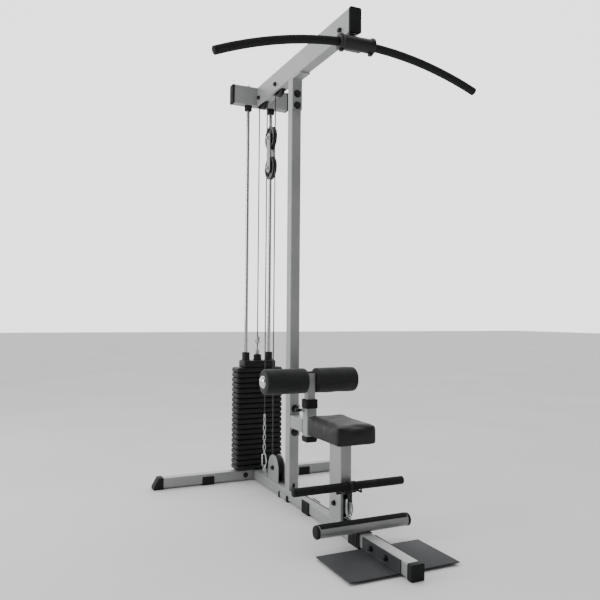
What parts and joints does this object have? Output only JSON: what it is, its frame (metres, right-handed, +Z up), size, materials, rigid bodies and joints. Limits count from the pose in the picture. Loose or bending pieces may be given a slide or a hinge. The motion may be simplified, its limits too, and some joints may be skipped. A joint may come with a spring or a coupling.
{
  "type": "lat pulldown machine",
  "caption": "Free-standing lat pulldown and low row machine with a weight stack, a curved pulldown bar, a straight row bar, a padded seat and adjustable foam thigh rollers.",
  "frame": {"origin": "on the floor, midway between the front rubber foot and the back of the weight stack", "axes": "+Z up; the user sits facing +Y, towards the weight stack, with +X on their right"},
  "size_m": [1.1974, 1.526, 2.111],
  "materials": {
    "frame_metal": "satin silver-grey powder coat",
    "black_metal": "black powder coat",
    "rubber": "matte black rubber",
    "foam": "matte charcoal foam sleeve",
    "vinyl": "soft black upholstery vinyl",
    "nylon": "black glass-filled nylon",
    "iron": "black painted iron",
    "chrome": "bright plated steel",
    "cable": "grey plastic-coated wire rope"
  },
  "bodies": {
    "frame": {"base_tube": "frame_metal", "rear_cross_tube": "frame_metal", "base_front_cap": "rubber", "cross_cap_left": "rubber", "cross_cap_right": "rubber", "saddle_foot_left": "rubber", "saddle_foot_right": "rubber", "saddle_foot_rear": "rubber", "saddle_foot_middle": "rubber", "saddle_foot_front": "rubber", "upright": "frame_metal", "boom": "frame_metal", "boom_cap": "rubber", "boom_bracket": "frame_metal", "top_cross_tube": "frame_metal", "guide_rod_left": "chrome", "guide_rod_right": "chrome", "stack_bumper_left": "rubber", "stack_bumper_right": "rubber", "resting_plates": "iron", "seat_post": "frame_metal", "seat_cushion": "vinyl", "holder_arm": "frame_metal", "holder_tube": "frame_metal", "holder_collar": "rubber", "low_pulley_guard": "frame_metal", "anchor_staple": "chrome", "anchor_snap_hook": "chrome", "anchor_chain": "chrome", "foot_brace": "frame_metal", "brace_cap_left": "rubber", "brace_cap_right": "rubber", "foot_plate_left": "black_metal", "foot_plate_right": "black_metal", "bar_cradle": "black_metal", "lat_cable": "cable", "low_cable": "cable"},
    "lifted_stack": {"stack_head": "iron", "lifted_plates": "iron"},
    "selector_pin": {"selector_pin": "black_metal"},
    "cable_end": {"lat_cable_end": "chrome"},
    "lat_handle": {"lat_bar": "rubber", "lat_hanger": "black_metal"},
    "front_wheel": {"pulley_front": "nylon"},
    "middle_wheel": {"pulley_middle": "nylon"},
    "rear_wheel": {"pulley_rear": "nylon"},
    "float_block": {"float_strap_left": "frame_metal", "float_strap_right": "frame_metal"},
    "float_upper_wheel": {"pulley_float_upper": "nylon"},
    "float_lower_wheel": {"pulley_float_lower": "nylon"},
    "low_wheel": {"pulley_low": "nylon"},
    "post_wheel": {"pulley_seat_post": "nylon"},
    "low_hook": {"low_snap_hook": "chrome", "low_bar_eye": "black_metal"},
    "low_bar": {"low_bar": "rubber"},
    "roller_carriage": {"roller_post": "frame_metal", "roller_axle": "chrome"},
    "roller_left": {"foam_roller_left": "foam"},
    "roller_right": {"foam_roller_right": "foam"},
    "pull_pin": {"pull_pin": "black_metal"}
  },
  "joints": [
    {"name": "stack_lift", "type": "slide", "parent": "frame", "child": "lifted_stack", "axis": [0, 0, 1], "range_m": [0, 1.15], "deforming": ["lat_cable"]},
    {"name": "selector_pin_pull", "type": "slide", "parent": "lifted_stack", "child": "selector_pin", "axis": [0, -1, 0], "range_m": [0, 0.1]},
    {"name": "lat_pull", "type": "slide", "parent": "frame", "child": "cable_end", "axis": [0, 0, -1], "range_m": [0, 1.15]},
    {"name": "lat_bar_swivel", "type": "hinge", "parent": "cable_end", "child": "lat_handle", "pos_m": [0, -0.3046, 1.952], "axis": [0, 0, 1], "range_deg": [-35, 35]},
    {"name": "front_wheel_spin", "type": "hinge", "parent": "frame", "child": "front_wheel", "pos_m": [0, -0.248, 2.045], "axis": [1, 0, 0], "range_deg": [0, 1180]},
    {"name": "middle_wheel_spin", "type": "hinge", "parent": "frame", "child": "middle_wheel", "pos_m": [0, 0.432, 2.045], "axis": [1, 0, 0], "range_deg": [0, 1180]},
    {"name": "rear_wheel_spin", "type": "hinge", "parent": "frame", "child": "rear_wheel", "pos_m": [0, 0.656, 2.045], "axis": [1, 0, 0], "range_deg": [0, 1180]},
    {"name": "float_drop", "type": "slide", "parent": "frame", "child": "float_block", "axis": [0, 0, -1], "range_m": [0, 0.45]},
    {"name": "float_upper_spin", "type": "hinge", "parent": "float_block", "child": "float_upper_wheel", "pos_m": [0, 0.544, 1.802], "axis": [-1, 0, 0], "range_deg": [0, 1180]},
    {"name": "float_lower_spin", "type": "hinge", "parent": "float_block", "child": "float_lower_wheel", "pos_m": [0, 0.544, 1.645], "axis": [1, 0, 0], "range_deg": [0, 465]},
    {"name": "low_wheel_spin", "type": "hinge", "parent": "frame", "child": "low_wheel", "pos_m": [0, 0.432, 0.12], "axis": [-1, 0, 0], "range_deg": [0, 925]},
    {"name": "post_wheel_spin", "type": "hinge", "parent": "frame", "child": "post_wheel", "pos_m": [0, -0.223, 0.12], "axis": [-1, 0, 0], "range_deg": [0, 925]},
    {"name": "low_pull", "type": "slide", "parent": "frame", "child": "low_hook", "axis": [0, -0.9135, 0.4067], "range_m": [0, 0.9], "deforming": ["low_cable"]},
    {"name": "low_bar_spin", "type": "hinge", "parent": "low_hook", "child": "low_bar", "pos_m": [0, -0.305, 0.204], "axis": [1, 0, 0], "continuous": true},
    {"name": "roller_height", "type": "slide", "parent": "frame", "child": "roller_carriage", "axis": [0, 0, 1], "range_m": [-0.02, 0.06]},
    {"name": "roller_left_spin", "type": "hinge", "parent": "roller_carriage", "child": "roller_left", "pos_m": [0, 0.062, 0.587], "axis": [1, 0, 0], "continuous": true},
    {"name": "roller_right_spin", "type": "hinge", "parent": "roller_carriage", "child": "roller_right", "pos_m": [0, 0.062, 0.587], "axis": [1, 0, 0], "continuous": true},
    {"name": "pull_pin_draw", "type": "slide", "parent": "frame", "child": "pull_pin", "axis": [-1, 0, 0], "range_m": [0, 0.012], "stiffness_N_per_m": 800, "springref_m": -0.006}
  ],
  "couplings": [
    {"joint": "lat_pull", "follows": "stack_lift", "ratio": 1},
    {"joint": "front_wheel_spin", "follows": "stack_lift", "rad_per_m": 17.857},
    {"joint": "middle_wheel_spin", "follows": "stack_lift", "rad_per_m": 17.857},
    {"joint": "rear_wheel_spin", "follows": "stack_lift", "rad_per_m": 17.857},
    {"joint": "float_upper_spin", "follows": "stack_lift", "rad_per_m": 17.857},
    {"joint": "float_drop", "follows": "low_pull", "ratio": 0.5},
    {"joint": "float_lower_spin", "follows": "low_pull", "rad_per_m": 8.9286},
    {"joint": "low_wheel_spin", "follows": "low_pull", "rad_per_m": 17.857},
    {"joint": "post_wheel_spin", "follows": "low_pull", "rad_per_m": 17.857}
  ]
}
